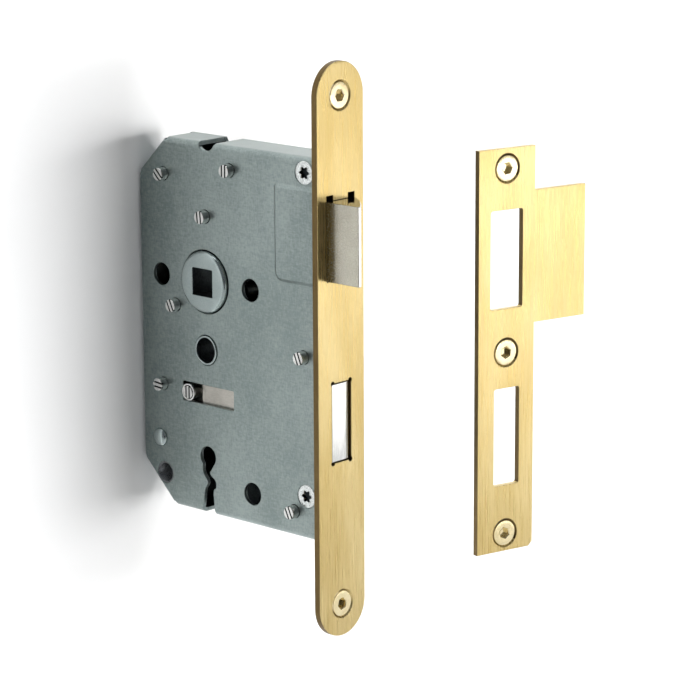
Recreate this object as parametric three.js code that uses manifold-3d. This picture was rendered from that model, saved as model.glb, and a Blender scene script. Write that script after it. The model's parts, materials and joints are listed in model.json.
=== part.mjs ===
// A mortise lock for an interior door: sheet steel case, brass faceplate, sprung latch, key-thrown
// deadbolt with three levers, and its strike plate.
//
// Frame, in millimetres: +X points forward out of the faceplate, +Z runs up along it, and the case's
// pan side faces -Y. The origin is the middle of the faceplate's front face.

import * as THREE from "three";
import { mergeVertices } from "three/addons/utils/BufferGeometryUtils.js";
import Module from "manifold-3d";

const wasm = await Module();
wasm.setup();

// ---- driving dimensions -------------------------------------------------------------------------

const FACEPLATE = { length: 174, width: 20, thick: 2.2, screwZ: 77 };
const CASE = {
  half: 6.5, sheet: 1.2, front: -2.3, rear: -78.8, top: 58.8, bottom: -57.2,
  topChamfer: 11.6, bottomChamfer: 13.2, bend: 1.9,
};
const BACKSET = 50;
const SPINDLE = { x: -BACKSET, z: 16, square: 8.4 };
const KEY = { x: -BACKSET, z: -39, hole: 3.3 };
const FIXING = { spread: 19, upperZ: SPINDLE.z, lowerZ: -47.3, radius: 3.5 };
const COLLAR = { x: -BACKSET, z: -5.3, outer: 4.65, inner: 3.9, proud: 0.4 };
const SLEEVE = { outer: 3.4, inner: 3.0 };
const WINDOW = { x0: -60.4, x1: -38.6, z: -19.5, half: 3.05 };
const PANEL = { rear: -20.5, z0: 20.6, z1: 50, raised: 1, corner: 3 };
const NOTCH = { x: -49.2, half: 3.6, floor: 56.2 };
const RELIEF = 0.9;

const POST = { radius: 2, proud: 2.7, rivet: 0.3, groove: 0.5, grooveDepth: 0.6, grooveOffset: 0.65 };
// each post: x, z, the lean of its two grooves from upright in degrees, and its collar's radius
const POSTS = {
  post_top_rear: [-67.3, 47.5, 45, 3],
  post_top_front: [-39, 51.5, 0, 0],
  post_over_follower: [-49.7, 36.2, 5, 0],
  post_follower_stop: [-62.9, 7.2, 25, 0],
  post_front: [-9.2, -1.2, 22, 3.5],
  post_rear: [-69.1, -18.7, 85, 0],
  post_bottom_front: [-13.5, -49.3, 25, 0],
};
const LEVER_POST = { x: -70.7, z: -36.2, radius: 2, dome: 3, domeHeight: 1.6 };

const LATCH = {
  half: 5.95, z0: 22.7, z1: 46.4, nose: 12.4, tip: 1.1, shoulder: -7, rear: -16.2,
  bevelEnd: 0.6, tailY0: -5, tailY1: -2.5, throwOut: 11.9,
};
const LATCH_OPENING = { half: 6.25, z0: 22.35, z1: 46.7, notch: 3.05, notchTop: 47.8 };
const DRIVE_PIN = { x: -48.8, z: 30, radius: 1.8 };
const FOLLOWER_SPRING = { x: -36.6, z0: 17.2, z1: 34.2, radius: 1.9 };
const FOLLOWER = { hub: 9.6, proud: 1.4, edge: 0.9, flange: 10.8, flangeHalf: 5, armY0: -2.2, armY1: 4.8 };

const BOLT = { half: 3.9, z0: -32.5, z1: -8.6, face: -0.3, shoulder: -18.3, rear: -28, travel: 16 };
const BOLT_SLOT = { half: 4.25, z0: -32.75, z1: -8.3, corner: 0.8, cornerY: 3.8, cornerIn: 0.1 };
const STUMP = { x: -57.5, z: WINDOW.z, radius: 2, roller: 2.75 };
const LEVER = { thick: 1.4, firstY: 0, pitch: 1.7, count: 3, lift: 3, gate: 2.3 };
const LEVER_BODY = { x0: -63.2, x1: -35.5, z0: -25.6, z1: -14.3 };

const CASE_SCREW = { x: -8.5, upperZ: 54.1, lowerZ: -43.8, head: 3.5, shank: 1.5, headDepth: 2, end: 4 };
const FACE_SCREW = { head: 4, shank: 2, sink: 4.6, headDepth: 2.1, length: 8.4, hex: 3, hexDepth: 1.6 };

const STRIKE = {
  x: 18.9, y: 40.3, yaw: -14, thick: 2, width: 21, lipWidth: 40.2, z0: -67.7, z1: 57.6, lipZ0: 3.1, lipZ1: 44,
  latchHole: [4.5, 16.4, 8.6, 38.9], boltHole: [6.1, 15.5, -46.7, -16.1], holeCorner: 0.8,
  screwZ: { strike_screw_upper: 51.5, strike_screw_middle: -5, strike_screw_lower: -62 },
};

const RIM = 0.1; // radial room round a fixed pin, and the gap between pieces that rest on each other
const RUN = 0.3; // room between pieces that move past each other

// ---- outlines -----------------------------------------------------------------------------------

function arc(cx, cy, radius, from, to, steps) {
  const points = [];
  for (let i = 0; i <= steps; i += 1) {
    const angle = from + ((to - from) * i) / steps;
    points.push([cx + radius * Math.cos(angle), cy + radius * Math.sin(angle)]);
  }
  return points;
}

function circle(cx, cy, radius, sides = 24) {
  const half = Math.PI / sides;
  return arc(cx, cy, radius, half, half + 2 * Math.PI, sides).slice(0, -1);
}

function rectangle(x0, x1, y0, y1) {
  return [[x0, y0], [x1, y0], [x1, y1], [x0, y1]];
}

function roundedRectangle(x0, x1, y0, y1, radius, steps = 3) {
  const quarter = Math.PI / 2;
  return [
    ...arc(x1 - radius, y0 + radius, radius, -quarter, 0, steps),
    ...arc(x1 - radius, y1 - radius, radius, 0, quarter, steps),
    ...arc(x0 + radius, y1 - radius, radius, quarter, 2 * quarter, steps),
    ...arc(x0 + radius, y0 + radius, radius, 2 * quarter, 3 * quarter, steps),
  ];
}

// a straight bar with round ends, from one point to another
function bar(x0, y0, x1, y1, radius, steps = 8) {
  const along = Math.atan2(y1 - y0, x1 - x0);
  const quarter = Math.PI / 2;
  return [
    ...arc(x1, y1, radius, along - quarter, along + quarter, steps),
    ...arc(x0, y0, radius, along + quarter, along + 3 * quarter, steps),
  ];
}

// the case's side outline, drawn in by an inset all round; its front runs past the case's front
function caseOutline(inset, front) {
  const corner = inset * (2 - Math.SQRT2);
  const top = CASE.top - inset;
  const bottom = CASE.bottom + inset;
  const rear = CASE.rear + inset;
  const topChamfer = CASE.topChamfer - corner;
  const bottomChamfer = CASE.bottomChamfer - corner;
  return [
    [front, bottom], [front, top], [rear + topChamfer, top], [rear, top - topChamfer],
    [rear, bottom + bottomChamfer], [rear + bottomChamfer, bottom],
  ];
}

// the keyhole: a round barrel hole and an S-shaped bit slot that runs out of the case's lower edge
function keyholeSlot() {
  const left = [
    [-2.1, -2.3], [-2.3, -4.5], [-1.5, -6.2], [-0.3, -7.8], [-0.8, -9.5], [-1.6, -11], [-2.7, -19],
  ];
  const right = [
    [2.7, -19], [2.1, -11], [3.2, -9.3], [3, -7.2], [1.2, -5.9], [0.6, -4.9], [1.3, -3.9], [2.3, -2.3],
  ];
  const smooth = (points, steps) =>
    new THREE.SplineCurve(points.map(([x, y]) => new THREE.Vector2(x, y)))
      .getPoints(steps)
      .map((point) => [KEY.x + point.x, KEY.z + point.y]);
  return [...smooth(left, 16), ...smooth(right, 18)];
}

// ---- solids -------------------------------------------------------------------------------------

// a closed three.js geometry as a manifold solid, its faces turned to point out
function solid(geometry) {
  const bare = new THREE.BufferGeometry();
  bare.setAttribute("position", geometry.getAttribute("position").clone());
  if (geometry.index) bare.setIndex(geometry.index.clone());
  const merged = mergeVertices(bare, 1e-4);
  const position = merged.getAttribute("position");
  const index = Array.from(merged.index.array);
  const triangles = [];
  let volume = 0;
  const [a, b, c] = [new THREE.Vector3(), new THREE.Vector3(), new THREE.Vector3()];
  for (let i = 0; i < index.length; i += 3) {
    const [p, q, r] = index.slice(i, i + 3);
    if (p === q || q === r || r === p) continue;
    triangles.push([p, q, r]);
    a.fromBufferAttribute(position, p);
    b.fromBufferAttribute(position, q);
    c.fromBufferAttribute(position, r);
    volume += a.dot(b.cross(c));
  }
  if (volume < 0) triangles.forEach((triangle) => triangle.reverse());
  return new wasm.Manifold(new wasm.Mesh({
    numProp: 3,
    vertProperties: new Float32Array(position.array),
    triVerts: new Uint32Array(triangles.flat()),
  }));
}

function extrude(points, depth, bevel = 0, bevelSteps = 3) {
  const shape = new THREE.Shape(points.map(([x, y]) => new THREE.Vector2(x, y)));
  const geometry = new THREE.ExtrudeGeometry(shape, {
    depth: depth - 2 * bevel,
    steps: 1,
    bevelEnabled: bevel > 0,
    bevelThickness: bevel,
    bevelSize: bevel,
    bevelOffset: -bevel,
    bevelSegments: bevelSteps,
  });
  return geometry.translate(0, 0, bevel);
}

// an outline drawn in X and Z, standing from y0 to y1
function plateY(points, y0, y1, bevel = 0, bevelSteps = 3) {
  return solid(extrude(points, y1 - y0, bevel, bevelSteps).rotateX(Math.PI / 2).translate(0, y1, 0));
}

// an outline drawn in Y and Z, standing from x0 to x1
function plateX(points, x0, x1) {
  const turn = new THREE.Matrix4().makeBasis(
    new THREE.Vector3(0, 1, 0), new THREE.Vector3(0, 0, 1), new THREE.Vector3(1, 0, 0),
  );
  return solid(extrude(points, x1 - x0).applyMatrix4(turn).translate(x0, 0, 0));
}

// an outline drawn in X and Y, standing from z0 to z1
function plateZ(points, z0, z1) {
  return solid(extrude(points, z1 - z0).translate(0, 0, z0));
}

function box(x0, x1, y0, y1, z0, z1) {
  return plateZ(rectangle(x0, x1, y0, y1), z0, z1);
}

function rodY(x, z, radius, y0, y1, sides = 18) {
  return plateY(circle(x, z, radius, sides), y0, y1);
}

// a profile of [radius, height] turned about +Y and set with its zero height at a point
function turnedY(profile, x, y, z, sides = 24) {
  const points = profile.map(([radius, height]) => new THREE.Vector2(radius, height));
  const geometry = new THREE.LatheGeometry(points, sides);
  return solid(geometry.rotateY(Math.PI / sides).translate(x, y, z));
}

function coil(start, end, radius, wire, turns, steps = 8) {
  const along = new THREE.Vector3().subVectors(end, start);
  const side = new THREE.Vector3(0, 1, 0);
  const up = new THREE.Vector3().crossVectors(along, side).normalize();
  class Helix extends THREE.Curve {
    getPoint(t, target = new THREE.Vector3()) {
      const angle = 2 * Math.PI * turns * t;
      return target.copy(start).addScaledVector(along, t)
        .addScaledVector(side, radius * Math.cos(angle))
        .addScaledVector(up, radius * Math.sin(angle));
    }
  }
  const section = new THREE.Shape(circle(0, 0, wire, 5).map(([x, y]) => new THREE.Vector2(x, y)));
  return solid(new THREE.ExtrudeGeometry(section, { steps: turns * steps, extrudePath: new Helix() }));
}

const union = (first, ...others) => others.reduce((sum, next) => sum.add(next), first);
const cut = (first, ...others) => others.reduce((rest, next) => rest.subtract(next), first);

// ---- materials and the assembly -----------------------------------------------------------------

const material = (color, metalness, roughness) =>
  new THREE.MeshStandardMaterial({ color, metalness, roughness });
const zincSteel = material(0x97a3a3, 0.85, 0.42);
const brushedBrass = material(0xd2ad62, 0.95, 0.36);
const paleBrass = material(0xe3cd92, 0.95, 0.22);
const latchSteel = material(0xa39d8e, 0.9, 0.34);
const nickelSteel = material(0xc9c9c6, 0.95, 0.18);
const plainSteel = material(0x8d8b86, 0.9, 0.4);
const springSteel = material(0x6c6e70, 0.9, 0.3);

const lock = new THREE.Group();
lock.name = "mortise_lock";

function addTo(group, name, body, finish) {
  const { vertProperties, triVerts } = body.getMesh();
  const geometry = new THREE.BufferGeometry();
  geometry.setAttribute("position", new THREE.BufferAttribute(vertProperties.slice(), 3));
  geometry.setIndex(new THREE.BufferAttribute(triVerts.slice(), 1));
  geometry.computeVertexNormals();
  const mesh = new THREE.Mesh(geometry, finish);
  mesh.name = name;
  group.add(mesh);
}

const add = (name, body, finish) => addTo(lock, name, body, finish);

// ---- case ---------------------------------------------------------------------------------------

const PAST = 20; // how far a cutting solid runs past what it cuts

// a shallow pressing over the latch, standing out of the pan (side -1) or the cap (side 1)
function pressing(side, inset, base, height) {
  const slope = PANEL.raised;
  const points = [
    [PAST, PANEL.z0 + inset],
    [PAST, PANEL.z1 - inset],
    ...arc(PANEL.rear + inset + 1, PANEL.z1 - inset - 1, 1, Math.PI / 2, Math.PI, 2),
    ...arc(PANEL.rear + inset + PANEL.corner, PANEL.z0 + inset + PANEL.corner, PANEL.corner,
      Math.PI, 1.5 * Math.PI, 4),
  ];
  const outer = base + height;
  const shell = plateY(points, -outer, outer, slope, 1);
  const [y0, y1] = side < 0 ? [-PAST, -base] : [base, PAST];
  return shell.intersect(box(-PAST * 2, PAST, y0, y1, 0, PAST * 3));
}

function sideHoles(y0, y1) {
  const holes = [
    rodY(SPINDLE.x, SPINDLE.z, FOLLOWER.hub + RUN, y0, y1, 32),
    rodY(COLLAR.x, COLLAR.z, COLLAR.outer + RIM, y0, y1),
    rodY(KEY.x, KEY.z, KEY.hole, y0, y1),
    plateY(keyholeSlot(), y0, y1),
    rodY(LEVER_POST.x, LEVER_POST.z, LEVER_POST.radius + RIM, y0, y1, 12),
  ];
  for (const side of [-1, 1]) {
    holes.push(rodY(-BACKSET + side * FIXING.spread, FIXING.upperZ, FIXING.radius, y0, y1));
    holes.push(rodY(-BACKSET + side * FIXING.spread, FIXING.lowerZ, FIXING.radius, y0, y1));
  }
  for (const [x, z] of Object.values(POSTS)) {
    holes.push(rodY(x, z, POST.radius + RIM, y0, y1, 12));
  }
  return holes;
}

// the U-shaped notch in the case's top edge, through both sides and the top flange
function topNotch() {
  const points = [
    [NOTCH.x + NOTCH.half, CASE.top + PAST],
    [NOTCH.x - NOTCH.half, CASE.top + PAST],
    ...arc(NOTCH.x, NOTCH.floor + NOTCH.half, NOTCH.half, Math.PI, 2 * Math.PI, 8),
  ];
  return plateY(points, -PAST, PAST);
}

// small reliefs where the folded flanges meet at the chamfers
function cornerReliefs() {
  return caseOutline(0.5, PAST).slice(2).map(([x, z]) => rodY(x, z, RELIEF, -PAST, PAST, 12));
}

// the countersunk hole for a case screw, with a little room all round it
function countersink(x, z) {
  const gap = 0.15;
  const head = CASE_SCREW.head + gap;
  const shank = CASE_SCREW.shank + gap;
  const profile = [[0, -1], [head, -1], [head, 0], [shank, CASE_SCREW.headDepth], [shank, PAST], [0, PAST]];
  return turnedY(profile, x, -CASE.half, z);
}

function makeCasePan() {
  const flangeEdge = CASE.half - CASE.sheet - RIM;
  const inner = -CASE.half + CASE.sheet;
  const outside = plateY(caseOutline(0, PAST), -CASE.half, PAST, CASE.bend)
    .intersect(box(-PAST * 5, CASE.front, -PAST, flangeEdge, -PAST * 5, PAST * 5));
  const inside = plateY(caseOutline(CASE.sheet, PAST * 2), inner, PAST * 2, CASE.bend - CASE.sheet, 2);
  const raised = pressing(-1, 0, CASE.half, PANEL.raised)
    .intersect(box(-PAST * 5, CASE.front, -PAST, 0, -PAST * 5, PAST * 5));
  const pocket = pressing(-1, 0.5, CASE.half - CASE.sheet, PANEL.raised);
  const bitHalf = 2.6;
  const bitZ = [CASE.bottom - PAST, CASE.bottom + 2];
  const bitSlot = box(KEY.x - bitHalf, KEY.x + bitHalf, -PAST, inner + 1.2, ...bitZ);
  const { x0, x1, z, half } = WINDOW;
  return cut(
    union(outside, raised), inside, pocket, topNotch(), bitSlot,
    ...cornerReliefs(), ...sideHoles(-PAST, 0),
    plateY(roundedRectangle(x0, x1, z - half, z + half, 0.4, 2), -PAST, 0),
    countersink(CASE_SCREW.x, CASE_SCREW.upperZ), countersink(CASE_SCREW.x, CASE_SCREW.lowerZ),
  );
}

function makeCaseCap() {
  const inner = CASE.half - CASE.sheet;
  const blank = plateY(caseOutline(0, CASE.front), inner, CASE.half);
  const raised = pressing(1, 0, CASE.half, PANEL.raised)
    .intersect(box(-PAST * 5, CASE.front, 0, PAST, -PAST * 5, PAST * 5));
  const pocket = pressing(1, 0.5, inner, PANEL.raised);
  return cut(union(blank, raised), pocket, topNotch(), ...sideHoles(0, PAST));
}

function makePost(x, z, lean, collarRadius) {
  const head = -CASE.half - POST.proud;
  let post = rodY(x, z, POST.radius, head, CASE.half + POST.rivet, 12);
  const seat = CASE.half - CASE.sheet - RIM;
  if (collarRadius > 0) post = post.add(rodY(x, z, collarRadius, -seat, seat, 18));
  const groove = solid(new THREE.BoxGeometry(POST.groove, 2 * POST.grooveDepth, 6 * POST.radius));
  const turned = (offset) => groove.translate([offset, 0, 0]).rotate([0, -lean, 0]).translate([x, head, z]);
  return cut(post, turned(-POST.grooveOffset), turned(POST.grooveOffset));
}

add("case_pan", makeCasePan(), zincSteel);
add("case_cap", makeCaseCap(), zincSteel);
for (const [name, [x, z, lean, collarRadius]] of Object.entries(POSTS)) {
  add(name, makePost(x, z, lean, collarRadius), plainSteel);
}

// ---- fixed pieces in the case -------------------------------------------------------------------

function tubeY(x, z, outer, inner, y0, y1, sides = 18) {
  return cut(rodY(x, z, outer, y0, y1, sides), rodY(x, z, inner, y0 - 1, y1 + 1, sides));
}

const insideHalf = CASE.half - CASE.sheet;
add("collar_tube", tubeY(COLLAR.x, COLLAR.z, COLLAR.outer, COLLAR.inner,
  -CASE.half - COLLAR.proud, CASE.half + COLLAR.proud), plainSteel);
add("threaded_sleeve", tubeY(-BACKSET - FIXING.spread, FIXING.lowerZ, SLEEVE.outer, SLEEVE.inner,
  -CASE.half + 0.2, CASE.half - 0.2), plainSteel);

function makeLeverPivot() {
  const { x, z, radius, dome, domeHeight } = LEVER_POST;
  const seat = -CASE.half - 0.05;
  const end = CASE.half + POST.rivet;
  const quarter = arc(0, 0, 1, 0, Math.PI / 2, 4);
  const round = quarter.map(([across, up]) => [dome * across, seat - domeHeight * up]);
  const head = [...round.slice(0, -1), [0, seat - domeHeight]].reverse();
  return turnedY([...head, [radius, seat], [radius, end], [0, end]], x, 0, z, 12);
}

add("lever_pivot", makeLeverPivot(), plainSteel);
add("lever_spacer", tubeY(LEVER_POST.x, LEVER_POST.z, 4, LEVER_POST.radius + RIM,
  -insideHalf + RIM, LEVER.firstY - RUN, 18), plainSteel);

function makeSpringBracket() {
  const [postX, postZ] = POSTS.post_top_front;
  const y0 = -2;
  const y1 = 4.9;
  const eye = rodY(postX, postZ, 4, y0, y1, 18);
  const web = box(postX - 0.6, postX + 1.2, y0, y1, 35, postZ);
  const foot = box(-42.2, FOLLOWER_SPRING.x + 2.4, y0, y1, 34.7, 36.3);
  return cut(union(eye, web, foot), rodY(postX, postZ, POST.radius + RIM, y0 - 1, y1 + 1, 12));
}

add("spring_bracket", makeSpringBracket(), plainSteel);

// ---- faceplate and what holds it ----------------------------------------------------------------

function faceplateOutline() {
  const radius = FACEPLATE.width / 2;
  const straight = FACEPLATE.length / 2 - radius;
  return [
    ...arc(0, straight, radius, 0, Math.PI, 20),
    ...arc(0, -straight, radius, Math.PI, 2 * Math.PI, 20),
  ];
}

// a countersunk screw hole through a plate whose front face is at the given x
function screwHoleX(y, z, x, depth) {
  const profile = [[0, -depth - 1], [FACE_SCREW.shank + 0.4, -depth - 1], [FACE_SCREW.shank + 0.4, -depth],
    [FACE_SCREW.sink, 0], [FACE_SCREW.sink, 1], [0, 1]];
  return turnedY(profile, 0, 0, 0, 20).rotate([0, 0, -90]).translate([x, y, z]);
}

function makeFaceplate() {
  const { half, z0, z1, notch, notchTop } = LATCH_OPENING;
  const through = [-FACEPLATE.thick - 1, 1];
  const slot = BOLT_SLOT;
  const corners = [];
  for (const y of [-slot.cornerY, slot.cornerY]) {
    for (const z of [slot.z0 + slot.cornerIn, slot.z1 - slot.cornerIn]) {
      corners.push(plateX(circle(y, z, slot.corner, 12), ...through));
    }
  }
  return cut(
    plateX(faceplateOutline(), -FACEPLATE.thick, 0),
    plateX(rectangle(-half, half, z0, z1), ...through),
    plateX(rectangle(-half, -half + notch, z0, notchTop), ...through),
    plateX(rectangle(half - notch, half, z0, notchTop), ...through),
    plateX(rectangle(-slot.half, slot.half, slot.z0, slot.z1), ...through),
    ...corners,
    screwHoleX(0, FACEPLATE.screwZ, 0, FACEPLATE.thick),
    screwHoleX(0, -FACEPLATE.screwZ, 0, FACEPLATE.thick),
  );
}

// a countersunk screw with a hexagon socket; its head's face lies at the given x, its shank runs to -X
function makeHexScrew(y, z, x, turn) {
  const { head, shank, headDepth, length, hex, hexDepth } = FACE_SCREW;
  const stem = [[0, -length], [shank, -length], [shank, -headDepth]];
  const screw = turnedY([...stem, [head, -0.25], [head - 0.2, 0], [0, 0]], 0, 0, 0, 20);
  const across = hex / Math.sqrt(3);
  const socket = plateY(arc(0, 0, across, turn, turn + 2 * Math.PI, 6).slice(0, -1), -hexDepth, 1);
  return screw.subtract(socket).rotate([0, 0, -90]).translate([x, y, z]);
}

// the blocks behind the faceplate that the case's two countersunk screws go into
function makeLug(z0, z1, screwZ) {
  const rear = -12.4;
  const seat = insideHalf - RIM;
  return box(rear, -FACEPLATE.thick - RIM, -seat, seat, z0, z1).subtract(countersink(CASE_SCREW.x, screwZ));
}

function makeCaseScrew(z) {
  const { x, head, shank, headDepth, end } = CASE_SCREW;
  const profile = [[0, 0], [head, 0], [shank, headDepth], [shank, CASE.half + end], [0, CASE.half + end]];
  const lobes = [];
  const sides = 24;
  for (let i = 0; i < sides; i += 1) {
    const angle = (2 * Math.PI * i) / sides;
    const radius = 1.55 + 0.3 * Math.cos(6 * angle);
    lobes.push([x + radius * Math.cos(angle), z + radius * Math.sin(angle)]);
  }
  return turnedY(profile, x, -CASE.half, z).subtract(plateY(lobes, -CASE.half - 1, -CASE.half + 1.1));
}

add("faceplate", makeFaceplate(), brushedBrass);
add("faceplate_screw_upper", makeHexScrew(0, FACEPLATE.screwZ, -0.1, 0), paleBrass);
add("faceplate_screw_lower", makeHexScrew(0, -FACEPLATE.screwZ, -0.1, 0.2), paleBrass);
add("faceplate_lug_upper", makeLug(49.9, 56.8, CASE_SCREW.upperZ), plainSteel);
add("faceplate_lug_lower", makeLug(-47.2, -39.8, CASE_SCREW.lowerZ), plainSteel);
add("case_screw_upper", makeCaseScrew(CASE_SCREW.upperZ), zincSteel);
add("case_screw_lower", makeCaseScrew(CASE_SCREW.lowerZ), zincSteel);

// ---- latch --------------------------------------------------------------------------------------

const LATCH_RIVETS = { latch_rivet_upper: [-11.4, 38.5], latch_rivet_lower: [-11.4, 30.5] };
const RIVET = { radius: 1.3 };

// seen from above: a flat side, a narrow tip, and a slightly crowned bevel on the far side
function latchOutline() {
  const { half, nose, tip, shoulder, bevelEnd } = LATCH;
  const start = new THREE.Vector2(nose, -half + tip);
  const end = new THREE.Vector2(bevelEnd, half);
  const bulge = new THREE.Vector2(0.9, 0.9);
  const crown = new THREE.Vector2().addVectors(start, end).multiplyScalar(0.5).add(bulge);
  const bevel = new THREE.QuadraticBezierCurve(start, crown, end).getPoints(8).map((p) => [p.x, p.y]);
  const edge = 0.35;
  return [[shoulder, -half], [nose - edge, -half], [nose, -half + edge], ...bevel, [shoulder, half]];
}

function makeLatchHead() {
  const { z0, z1, shoulder, rear, tailY1 } = LATCH;
  const block = plateZ(latchOutline(), z0, z1);
  const neck = box(rear, shoulder + 1, tailY1 + RIM, 4.8, z0 + 0.3, z1 - 0.3);
  const holes = Object.values(LATCH_RIVETS).map(([x, z]) => rodY(x, z, RIVET.radius + RIM, tailY1, 3.1, 12));
  return cut(union(block, neck), ...holes);
}

function makeLatchTail() {
  const outline = [
    [-7.4, 26], [-7.4, 43], [-20, 43], [-24, 40.4], [-56, 40.4], [-56, 32], [-52.4, 27.6], [-45.4, 27.6],
    [-42, 32], [-24, 32], [-20, 26],
  ];
  const { tailY0, tailY1, throwOut } = LATCH;
  const [postX, postZ] = POSTS.post_over_follower;
  const slot = bar(postX, postZ, postX + throwOut + RUN, postZ, POST.radius + RUN);
  const holes = Object.values(LATCH_RIVETS).map(([x, z]) => rodY(x, z, RIVET.radius + RIM, -PAST, 0, 12));
  return cut(
    plateY(outline, tailY0, tailY1),
    plateY(slot, -PAST, 0),
    rodY(DRIVE_PIN.x, DRIVE_PIN.z, DRIVE_PIN.radius + RIM, -PAST, 0, 16),
    ...holes,
  );
}

add("latch_head", makeLatchHead(), latchSteel);
add("latch_tail", makeLatchTail(), plainSteel);
for (const [name, [x, z]] of Object.entries(LATCH_RIVETS)) {
  add(name, rodY(x, z, RIVET.radius, LATCH.tailY0, 3, 12), plainSteel);
}
const drivePin = rodY(DRIVE_PIN.x, DRIVE_PIN.z, DRIVE_PIN.radius, LATCH.tailY0 + 0.1, 1.6, 16);
add("latch_drive_pin", drivePin, plainSteel);
const latchSpring = coil(new THREE.Vector3(-16.9, 1.3, 41), new THREE.Vector3(-37.3, 1.3, 41), 2.3, 0.35, 9);
add("latch_spring", latchSpring, springSteel);

// ---- follower -----------------------------------------------------------------------------------

// the follower's arms: one drives the latch, one takes the return spring, one meets the stop post
const ARMS = [
  { degrees: 67, reach: 17.4, half: 2.4 },
  { degrees: -10, reach: 14, half: 2.4 },
  { degrees: 150, reach: 14.6, half: 2.2 },
];

function makeFollower() {
  const { hub, proud, flange, flangeHalf, edge, armY0, armY1 } = FOLLOWER;
  const end = CASE.half + proud;
  const round = arc(hub - edge, end - edge, edge, Math.PI / 2, 0, 3);
  const profile = [[0, -end], ...round.map(([radius, y]) => [radius, -y]), ...round.reverse(), [0, end]];
  const arms = ARMS.map(({ degrees, reach, half }) => {
    const angle = THREE.MathUtils.degToRad(degrees);
    const length = reach - half;
    const tipX = SPINDLE.x + length * Math.cos(angle);
    const tipZ = SPINDLE.z + length * Math.sin(angle);
    return plateY(bar(SPINDLE.x, SPINDLE.z, tipX, tipZ, half), armY0, armY1);
  });
  const { x, z } = SPINDLE;
  const square = SPINDLE.square / 2;
  return cut(
    union(turnedY(profile, x, 0, z, 32), rodY(x, z, flange, -flangeHalf, flangeHalf, 32), ...arms),
    box(x - square, x + square, -PAST, PAST, z - square, z + square),
  );
}

add("follower", makeFollower(), nickelSteel);
const { x: springX, z0: springFoot, z1: springTop, radius: springRadius } = FOLLOWER_SPRING;
const springEnds = [springFoot, springTop].map((z) => new THREE.Vector3(springX, 1.3, z));
add("follower_spring", coil(...springEnds, springRadius, 0.35, 8), springSteel);

// ---- deadbolt -----------------------------------------------------------------------------------

const BOLT_RIVETS = { deadbolt_rivet_upper: [-23.3, -15.5], deadbolt_rivet_lower: [-23.3, -25.5] };
const TAIL = { y0: -5, step: -2.6, y1: -0.4, padRear: -53.4, rear: -66, z0: -26.2, z1: -12.9 };

function makeBoltHead() {
  const { half, z0, z1, face, shoulder, rear } = BOLT;
  const block = box(shoulder, face, -half, half, z0, z1);
  const neck = box(rear, shoulder + 1, TAIL.step + RIM, half, z0 + 1.5, z1 - 1.4);
  const holes = Object.values(BOLT_RIVETS).map(([x, z]) => rodY(x, z, RIVET.radius + RIM, -4, 3.1, 12));
  return cut(union(block, neck), ...holes);
}

// a stepped plate: its thick part carries the head, its thin rear part the stump and the key's notch
function makeBoltTail() {
  const { y0, step, y1, padRear, rear, z0, z1 } = TAIL;
  const pad = [[BOLT.shoulder - RUN, -30], [BOLT.shoulder - RUN, -11], [-30, -11], [-32, z1], [padRear, z1],
    [padRear, z0], [-32, z0], [-29, -30]];
  const thin = box(rear, BOLT.rear - RUN, step - 0.1, y1, z0, z1);
  const talon = plateY([[-61.4, z0 - 1], [-60.6, -23], [-54.6, -23], [-53.8, z0 - 1]], step - 0.2, 1);
  const holes = Object.values(BOLT_RIVETS).map(([x, z]) => rodY(x, z, RIVET.radius + RIM, -PAST, 0, 12));
  return cut(
    union(plateY(pad, y0, step), thin),
    talon,
    rodY(STUMP.x, STUMP.z, STUMP.radius + RIM, -PAST, 0, 16),
    ...holes,
  );
}

function makeGuidePin() {
  const front = -CASE.half - 1;
  const pin = rodY(STUMP.x, STUMP.z, STUMP.radius, front, 4.95, 16);
  const groove = solid(new THREE.BoxGeometry(POST.groove, 2 * POST.grooveDepth, 6 * POST.radius));
  const grooves = [-POST.grooveOffset, POST.grooveOffset];
  return cut(pin, ...grooves.map((offset) => groove.translate([STUMP.x + offset, front, STUMP.z])));
}

add("deadbolt_head", makeBoltHead(), nickelSteel);
add("deadbolt_tail", makeBoltTail(), plainSteel);
for (const [name, [x, z]] of Object.entries(BOLT_RIVETS)) {
  add(name, rodY(x, z, RIVET.radius, TAIL.y0, 3, 12), plainSteel);
}
add("guide_pin", makeGuidePin(), plainSteel);
add("guide_roller", tubeY(STUMP.x, STUMP.z, STUMP.roller, STUMP.radius + RIM,
  -CASE.half - 0.8, TAIL.step - RUN, 16), plainSteel);

// ---- levers -------------------------------------------------------------------------------------

// a lever: an eye on the pivot, a body with two pockets joined by the stump's gate, and a belly for the key
function leverOutlineSolid(y0, y1) {
  const { x, z } = LEVER_POST;
  const { x0, x1, z0, z1 } = LEVER_BODY;
  const side = 3.4;
  const shank = [
    [x - side, z + side], [x + 4, z + 13], [x0 + 1, z1 - 1],
    [x0 + 9, z0 + 1], [x + 8, z + 5], [x + side, z - side],
  ];
  const belly = [[x0 + 2, z0 + 1], [-56, -28.2], [-44, -28.2], [-39, z0 + 1]];
  return union(
    rodY(x, z, 5, y0, y1),
    plateY(shank, y0, y1),
    plateY(roundedRectangle(x0, x1, z0, z1, 2), y0, y1),
    plateY(belly.reverse(), y0, y1),
  );
}

// the window in a lever that the stump rests in, with room for the lever to swing to both its limits
function pocket(stumpX, y0, y1) {
  const { z, radius } = STUMP;
  const spare = 1.08;
  const swing = Math.sin(THREE.MathUtils.degToRad(LEVER.lift)) * spare;
  const halfWidth = radius + RUN + (z - LEVER_POST.z) * swing;
  const halfHeight = radius + RUN + (stumpX - LEVER_POST.x) * swing;
  const sides = [stumpX - halfWidth, stumpX + halfWidth, z - halfHeight, z + halfHeight];
  return plateY(roundedRectangle(...sides, 0.6, 2), y0, y1);
}

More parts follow.
